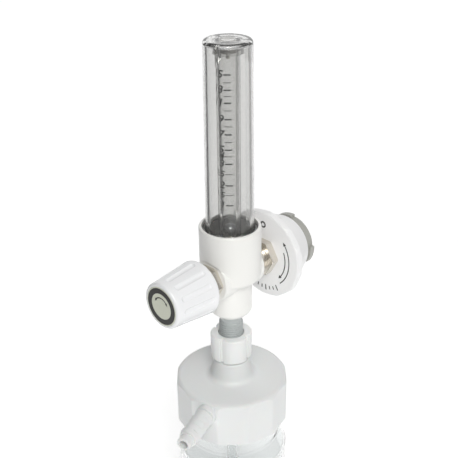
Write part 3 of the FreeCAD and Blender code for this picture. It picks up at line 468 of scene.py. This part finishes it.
def wrapped_line(bm, radius, start, end, middle, width):
    """A curved line on a tube about Z, between two angles counted from -Y towards +X."""
    turn = math.radians(start)
    x, y = radius * math.sin(turn), -radius * math.cos(turn)
    low = bm.verts.new((x, y, middle - width / 2))
    high = bm.verts.new((x, y, middle + width / 2))
    edge = bm.edges.new((low, high))
    bmesh.ops.spin(
        bm, geom=[low, high, edge], cent=(0, 0, 0), axis=(0, 0, 1), dvec=(0, 0, 0),
        angle=math.radians(end - start), steps=max(2, round((end - start) / ARC_STEP)),
        use_merge=False, use_duplicate=False,
    )


scale = bmesh.new()
for flow_rate, height in FLOW_HEIGHTS.items():
    width = THICK_LINE_W if flow_rate in THICK_LINES else THIN_LINE_W
    lean = LINE_LEAN * (FLOW_HEIGHTS[15] - height)
    wrapped_line(scale, PRINT_R, LINE_START + lean / 2, LINE_END + lean, height, width)
bmesh.ops.solidify(scale, geom=scale.faces[:], thickness=INK_FILM)
piece("scale_lines", scale, black_ink, "flowmeter")

# %% [markdown]
# The numbers are Blender text turned into a mesh. Flat text laid on a round tube would sink into
# it, so each number is first sliced into narrow upright bands, and only then are its points wrapped
# round the tube: what was a distance along the flat print becomes an angle. The figures are drawn
# wide, since they are read from one side of the tube. A figure is as tall as 0.7 of its font's
# size, and its strokes are thickened by a small share of its height, as screen ink spreads.

# %% The numbers
NUMBER_H = 3.4
HALF_NUMBER_SHARE = 0.82
NUMBER_STRETCH = 1.15
NUMBER_END = 18.5
NUMBER_REACH = 6.0
BAND_W = 0.3
FIGURE_SHARE = 0.7
FIGURE_SLANT = 0.2
STROKE_SHARE = 0.025
PRINTED_FLOWS = (15, 13, 11, 9, 7, 5, 4, 3, 2.5, 2, 1.5, 1, 0.5)


def flat_text(words, height):
    """Words as a thin flat mesh in the XY plane that end at X = 0, height tall in millimetres."""
    curve = bpy.data.curves.new("words", "FONT")
    curve.body = words
    curve.size = height / FIGURE_SHARE
    curve.shear = FIGURE_SLANT
    curve.align_x = "RIGHT"
    curve.align_y = "CENTER"
    curve.resolution_u = 3
    curve.extrude = INK_FILM / 2
    curve.offset = height * STROKE_SHARE
    holder = bpy.data.objects.new("words", curve)
    mesh = bpy.data.meshes.new_from_object(holder)
    bpy.data.objects.remove(holder)
    flat = bmesh.new()
    flat.from_mesh(mesh)
    bpy.data.meshes.remove(mesh)
    bpy.data.curves.remove(curve)
    return flat


def slice_across(bm, reach, step):
    """Cuts a flat mesh that ends at X = 0 into bands along X so that it can bend."""
    for index in range(-int(reach / step), 1):
        geometry = bm.verts[:] + bm.edges[:] + bm.faces[:]
        cut_at = (index * step, 0, 0)
        bmesh.ops.bisect_plane(bm, geom=geometry, plane_co=cut_at, plane_no=(1, 0, 0))


def wrap_round(bm, radius, angle, height):
    """Bends a flat mesh round a tube about Z; its end lands at the angle and height."""
    for vert in bm.verts:
        turn = math.radians(angle) + vert.co.x * NUMBER_STRETCH / radius
        reach = radius + vert.co.z
        vert.co = Vector((reach * math.sin(turn), -reach * math.cos(turn), height + vert.co.y))


def gather(target, source):
    """Adds one bmesh to another."""
    mesh = bpy.data.meshes.new("part")
    source.to_mesh(mesh)
    source.free()
    target.from_mesh(mesh)
    bpy.data.meshes.remove(mesh)


numbers = bmesh.new()
for flow_rate in PRINTED_FLOWS:
    share = 1 if flow_rate == int(flow_rate) else HALF_NUMBER_SHARE
    digits = flat_text(str(flow_rate), NUMBER_H * share)
    slice_across(digits, NUMBER_REACH, BAND_W)
    lean = LINE_LEAN * (FLOW_HEIGHTS[15] - FLOW_HEIGHTS[flow_rate])
    wrap_round(digits, PRINT_R, NUMBER_END + lean / 2, FLOW_HEIGHTS[flow_rate])
    gather(numbers, digits)
piece("scale_numbers", numbers, black_ink, "flowmeter")

# %% [markdown]
# ### Marks on the knob and the grip
# The knob's label has a plain black ring and, inside it, an arrow that turns both ways. The grip
# carries the marks a user needs to plug it in: a small index ring, a short row of ticks, and two
# arcs with arrowheads that show which way it locks and which way it comes free. Each is a short
# edge spun about the valve line, or a triangle, on a plane that faces -Y.

# %% Flat prints on planes that face the knob side
PRINT_GAP = 0.02
HEAD_LENGTH, HEAD_HALF_W = 1.3, 0.62  # shares of an arrowhead's size


def wheel_point(radius, angle, y):
    """A point at an angle from +X towards +Z round the valve line."""
    turn = math.radians(angle)
    return Vector((radius * math.cos(turn), y, AXIS_Z + radius * math.sin(turn)))


def arc_print(bm, radius, width, start, end, y):
    """A flat arc round the valve line: a radial edge spun about it."""
    inner = bm.verts.new(wheel_point(radius - width / 2, start, y))
    outer = bm.verts.new(wheel_point(radius + width / 2, start, y))
    edge = bm.edges.new((inner, outer))
    full = abs(end - start) >= 360
    bmesh.ops.spin(
        bm, geom=[inner, outer, edge], cent=(0, y, AXIS_Z), axis=(0, -1, 0), dvec=(0, 0, 0),
        angle=math.radians(end - start), steps=max(3, round(abs(end - start) / ARC_STEP)),
        use_merge=full, use_duplicate=False,
    )


def arrowhead(bm, radius, angle, size, way, y):
    """A flat triangle on the arc that points forward (1) or back (-1) along it."""
    tip = wheel_point(radius, angle + way * math.degrees(size * HEAD_LENGTH / radius), y)
    wings = [wheel_point(radius + side * size * HEAD_HALF_W, angle, y) for side in (-1, 1)]
    bm.faces.new([bm.verts.new(point) for point in (tip, *wings)])


def film(bm):
    """Gives flat prints the thickness of an ink film."""
    bmesh.ops.recalc_face_normals(bm, faces=bm.faces[:])
    bmesh.ops.solidify(bm, geom=bm.faces[:], thickness=INK_FILM)


print("flat print helpers ready")

# %% The knob's label
CAP_FACE_Y = spot("knob_cap").y - PRINT_GAP - INK_FILM
LABEL_RING_R, LABEL_RING_W = 7.7, 2.6
TURN_ARC_R, TURN_ARC_W, TURN_HEAD = 4.3, 0.55, 1.1
TURN_START, TURN_END = 40, 140
knob_marks = bmesh.new()
arc_print(knob_marks, LABEL_RING_R, LABEL_RING_W, 0, 360, CAP_FACE_Y)
arc_print(knob_marks, TURN_ARC_R, TURN_ARC_W, TURN_START, TURN_END, CAP_FACE_Y)
arrowhead(knob_marks, TURN_ARC_R, TURN_END, TURN_HEAD, 1, CAP_FACE_Y)
arrowhead(knob_marks, TURN_ARC_R, TURN_START, TURN_HEAD, -1, CAP_FACE_Y)
film(knob_marks)
piece("knob_marks", knob_marks, black_ink, "knob")

# %% The grip's marks
GRIP_FACE_Y = spot("grip_disc").y - PRINT_GAP - INK_FILM
GRIP_ARC_W, GRIP_HEAD = 0.5, 1.5
LOCK_ARC_R, LOCK_START, LOCK_END = 16.9, -48, 34
FREE_ARC_R, FREE_START, FREE_END = 14.4, -36, 22
TICKS, FIRST_TICK, TICK_STEP, TICK_HALF_W = 7, -108, 8, 0.9
TICK_R, LONG_TICK, SHORT_TICK = 18.4, 3.0, 1.8
grip_marks = bmesh.new()
arc_print(grip_marks, LOCK_ARC_R, GRIP_ARC_W, LOCK_START, LOCK_END, GRIP_FACE_Y)
arrowhead(grip_marks, LOCK_ARC_R, LOCK_END, GRIP_HEAD, 1, GRIP_FACE_Y)
arc_print(grip_marks, FREE_ARC_R, GRIP_ARC_W, FREE_START, FREE_END, GRIP_FACE_Y)
arrowhead(grip_marks, FREE_ARC_R, FREE_START, GRIP_HEAD, -1, GRIP_FACE_Y)
for index in range(TICKS):
    angle = FIRST_TICK + index * TICK_STEP
    length = SHORT_TICK if index % 3 else LONG_TICK
    arc_print(grip_marks, TICK_R, length, angle - TICK_HALF_W, angle + TICK_HALF_W, GRIP_FACE_Y)
film(grip_marks)
piece("grip_marks", grip_marks, black_ink, "grip")

# %% The grip's index ring
INDEX_AT_R, INDEX_ANGLE = 16.4, 91
INDEX_INNER_R, INDEX_OUTER_R = 0.95, 1.75
index_mark = bmesh.new()
for radius in (INDEX_INNER_R, INDEX_OUTER_R):
    bmesh.ops.create_circle(index_mark, segments=32, radius=radius)
bmesh.ops.bridge_loops(index_mark, edges=index_mark.edges[:])
upright = Matrix.Rotation(math.pi / 2, 3, "X")
bmesh.ops.rotate(index_mark, verts=index_mark.verts[:], cent=(0, 0, 0), matrix=upright)
centre = wheel_point(INDEX_AT_R, INDEX_ANGLE, GRIP_FACE_Y)
bmesh.ops.translate(index_mark, verts=index_mark.verts[:], vec=centre)
film(index_mark)
piece("grip_index", index_mark, black_ink, "grip")

# %% [markdown]
# ## The studio
# A white object on white needs the room to be uneven, or it has no edges and the clear tube
# disappears. So the table and the backdrop behind it are white, a soft lamp stands above the
# camera's right shoulder in front of a white screen, and the room is dark on the camera's left,
# where the shaded sides and the bends of the clear tube can pick it up. The table is translucent
# and lit from below, as in a product studio, so that it stays white under the object's shadow.

# %% The camera
CAMERA_AT = Vector((247.6, -250.5, 381.1)) * MM
TURN, TILT, ROLL = math.radians(44.74), math.radians(26.87), math.radians(-0.73)
IMAGE_SIDE = 458
FOCAL_PIXELS = 838.49
SENSOR_MM = 36.0

right = Vector((math.cos(TURN), math.sin(TURN), 0))
ahead = Vector((-math.sin(TURN) * math.cos(TILT), math.cos(TURN) * math.cos(TILT), -math.sin(TILT)))
above = right.cross(ahead)
across = right * math.cos(ROLL) + above * math.sin(ROLL)
upward = above * math.cos(ROLL) - right * math.sin(ROLL)
lens = bpy.data.cameras.new("camera")
lens.sensor_width = SENSOR_MM
lens.lens = FOCAL_PIXELS * SENSOR_MM / IMAGE_SIDE
lens.clip_start = 0.01
camera = bpy.data.objects.new("camera", lens)
camera_turn = Matrix((across, upward, -ahead)).transposed().to_4x4()
camera.matrix_world = Matrix.Translation(CAMERA_AT) @ camera_turn
bpy.context.scene.collection.objects.link(camera)
bpy.context.scene.camera = camera
print("lens", round(lens.lens, 1), "mm")

# %% The table
TABLE_R = 0.42
TABLE_GLOW = 0.5
table_white = finish(
    "translucent_acrylic_table", "#F2F2F2", Roughness=0.6,
    Emission_Strength=TABLE_GLOW, Emission_Color=linear("#FFFFFF"))
table = bmesh.new()
bmesh.ops.create_circle(table, cap_ends=True, segments=96, radius=TABLE_R)
table_mesh = bpy.data.meshes.new("table")
table.to_mesh(table_mesh)
table.free()
table_mesh.materials.append(table_white)
table_top = bpy.data.objects.new("table", table_mesh)
bpy.context.scene.collection.objects.link(table_top)
print("table", TABLE_R, "m in radius")

# %% The soft lamp
LAMP_BEARING, LAMP_RISE, LAMP_DISTANCE = math.radians(52), math.radians(43), 0.9
LAMP_SIZE, LAMP_POWER = 0.26, 2.4
AIM_HEIGHT = 190 * MM
towards = Vector((
    math.sin(LAMP_BEARING) * math.cos(LAMP_RISE),
    -math.cos(LAMP_BEARING) * math.cos(LAMP_RISE),
    math.sin(LAMP_RISE),
))
lamp = bpy.data.lights.new("soft_lamp", "AREA")
lamp.shape = "SQUARE"
lamp.size = LAMP_SIZE
lamp.energy = LAMP_POWER
lamp.color = linear("#FFFDF8")[:3]
soft_lamp = bpy.data.objects.new("soft_lamp", lamp)
lamp_place = Matrix.Translation(Vector((0, 0, AIM_HEIGHT)) + towards * LAMP_DISTANCE)
soft_lamp.matrix_world = lamp_place @ towards.to_track_quat("Z", "Y").to_matrix().to_4x4()
bpy.context.scene.collection.objects.link(soft_lamp)
print("lamp", round(lamp.size, 2), "m wide")

# %% The room
world = bpy.data.worlds.new("room")
bpy.context.scene.world = world
world.use_nodes = True
room = world.node_tree
direction = add(room, "ShaderNodeTexCoord", {}, {})


def facing(heading, fade, low, high):
    """Brightness that goes from low to high as a direction turns towards a heading. The fade is
    the cosine of the angle between them where the change starts, and the one where it ends."""
    turned = add(room, "ShaderNodeVectorMath", {"operation": "DOT_PRODUCT"}, {
        0: direction.outputs["Generated"],
        1: heading,
    })
    shade = add(room, "ShaderNodeMapRange", {"interpolation_type": "SMOOTHSTEP"}, {
        "Value": turned.outputs["Value"],
        "From Min": fade[0],
        "From Max": fade[1],
        "To Min": low,
        "To Max": high,
    })
    return shade.outputs["Result"]


behind = (-right.y, right.x, 0)
backdrop = facing(behind, fade=(0.62, 0.84), low=0.0, high=1.02)
walls = facing(right, fade=(-0.6, 0.1), low=0.13, high=0.41)
screen = facing(towards, fade=(0.87, 0.97), low=0.0, high=2.1)
unlit = add(room, "ShaderNodeMath", {"operation": "MAXIMUM"}, {0: backdrop, 1: walls})
lit = add(room, "ShaderNodeMath", {"operation": "ADD"}, {0: unlit.outputs["Value"], 1: screen})
room.nodes["Background"].inputs["Color"].default_value = linear("#FFFFFF")
room.links.new(lit.outputs["Value"], room.nodes["Background"].inputs["Strength"])
bpy.context.scene.view_settings.view_transform = "Standard"
print("room ready")
